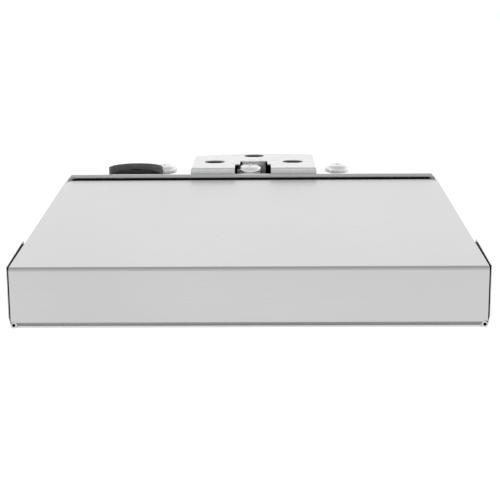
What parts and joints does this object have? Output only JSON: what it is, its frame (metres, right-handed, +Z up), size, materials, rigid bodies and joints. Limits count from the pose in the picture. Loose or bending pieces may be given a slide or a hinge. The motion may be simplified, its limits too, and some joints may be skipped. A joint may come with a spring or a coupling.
{
  "type": "under cabinet range hood",
  "caption": "Low sheet steel cooker hood with a sloping top, a hanging bracket on its rear deck, tilting grease filters, a flat blower and a rear duct outlet.",
  "frame": {"origin": "on the top face of the hanging bracket, at the middle of the hood, between the notch and the rear slot", "axes": "+X to the right seen from the front, +Y to the wall behind, +Z up"},
  "size_m": [0.61, 0.5793, 0.1257],
  "materials": {
    "satin_steel": "satin, fine brushed grain",
    "galvanised_steel": "galvanised, faint spangle",
    "zinc_plate": "bright zinc plate",
    "bright_zinc": "bright white zinc",
    "polished_steel": "polished",
    "filter_aluminium": "satin",
    "black_plastic": "matte moulded",
    "grey_plastic": "matte moulded",
    "circuit_board": "lacquered board",
    "foam_rubber": "closed cell foam",
    "cable_rubber": "matte rubber",
    "lamp_glass": "frosted"
  },
  "bodies": {
    "shell": {"front_cover": "satin_steel", "rear_deck": "satin_steel", "bottom_pan": "satin_steel", "side_panel_left": "satin_steel", "side_panel_right": "satin_steel", "back_panel": "galvanised_steel", "blower_casing": "galvanised_steel", "blower_lid": "galvanised_steel", "motor_body": "galvanised_steel", "capacitor_clip": "galvanised_steel", "duct_collar": "galvanised_steel", "junction_box": "galvanised_steel", "junction_lid": "galvanised_steel", "ridge_seal": "foam_rubber", "bracket_seal": "foam_rubber", "edge_seal_left": "foam_rubber", "edge_seal_right": "foam_rubber", "capacitor": "filter_aluminium", "inlet_ring": "black_plastic", "control_bezel": "black_plastic", "lamp_housing_left": "polished_steel", "lamp_housing_right": "polished_steel", "mount_bolt_left": "bright_zinc", "mount_bolt_centre": "bright_zinc", "mount_bolt_right": "bright_zinc", "lamp_lens_left": "lamp_glass", "lamp_lens_right": "lamp_glass", "hanging_bracket": "zinc_plate", "lock_clip": "zinc_plate", "damper_pin": "zinc_plate", "motor_screw_1": "zinc_plate", "motor_screw_2": "zinc_plate", "motor_screw_3": "zinc_plate", "bracket_screw_1": "zinc_plate", "bracket_screw_2": "zinc_plate", "bracket_screw_3": "zinc_plate", "bracket_screw_4": "zinc_plate", "bolt_spacer_left": "zinc_plate", "bolt_spacer_centre": "zinc_plate", "bolt_spacer_right": "zinc_plate", "control_board": "circuit_board", "control_lead": "cable_rubber", "motor_lead": "cable_rubber", "cable_boot": "cable_rubber", "cable_guard": "grey_plastic"},
    "rotor": {"impeller": "black_plastic", "motor_shaft": "polished_steel"},
    "damper": {"damper_flap": "galvanised_steel"},
    "filter_left": {"filter_frame_left": "filter_aluminium", "filter_mesh_left": "filter_aluminium"},
    "latch_left": {"filter_latch_left": "black_plastic"},
    "filter_right": {"filter_frame_right": "filter_aluminium", "filter_mesh_right": "filter_aluminium"},
    "latch_right": {"filter_latch_right": "black_plastic"},
    "button_1": {"push_button_1": "polished_steel"},
    "button_2": {"push_button_2": "polished_steel"},
    "button_3": {"push_button_3": "polished_steel"},
    "button_4": {"push_button_4": "polished_steel"},
    "button_5": {"push_button_5": "polished_steel"}
  },
  "joints": [
    {"name": "fan_spin", "type": "hinge", "parent": "shell", "child": "rotor", "pos_m": [-0.05, -0.252, -0.075], "axis": [0, 0, 1], "continuous": true},
    {"name": "damper_swing", "type": "hinge", "parent": "shell", "child": "damper", "pos_m": [0, 0.058, -0.0595], "axis": [1, 0, 0], "range_deg": [0, 70]},
    {"name": "filter_left_tilt", "type": "hinge", "parent": "shell", "child": "filter_left", "pos_m": [-0.146, -0.075, -0.1208], "axis": [1, 0, 0], "range_deg": [0, 75]},
    {"name": "latch_left_slide", "type": "slide", "parent": "filter_left", "child": "latch_left", "axis": [0, 1, 0], "range_m": [0, 0.006], "stiffness_N_per_m": 150},
    {"name": "filter_right_tilt", "type": "hinge", "parent": "shell", "child": "filter_right", "pos_m": [0.146, -0.075, -0.1208], "axis": [1, 0, 0], "range_deg": [0, 75]},
    {"name": "latch_right_slide", "type": "slide", "parent": "filter_right", "child": "latch_right", "axis": [0, 1, 0], "range_m": [0, 0.006], "stiffness_N_per_m": 150},
    {"name": "button_1_press", "type": "slide", "parent": "shell", "child": "button_1", "axis": [0, 0, 1], "range_m": [0, 0.002], "stiffness_N_per_m": 400},
    {"name": "button_2_press", "type": "slide", "parent": "shell", "child": "button_2", "axis": [0, 0, 1], "range_m": [0, 0.002], "stiffness_N_per_m": 400},
    {"name": "button_3_press", "type": "slide", "parent": "shell", "child": "button_3", "axis": [0, 0, 1], "range_m": [0, 0.002], "stiffness_N_per_m": 400},
    {"name": "button_4_press", "type": "slide", "parent": "shell", "child": "button_4", "axis": [0, 0, 1], "range_m": [0, 0.002], "stiffness_N_per_m": 400},
    {"name": "button_5_press", "type": "slide", "parent": "shell", "child": "button_5", "axis": [0, 0, 1], "range_m": [0, 0.002], "stiffness_N_per_m": 400}
  ]
}
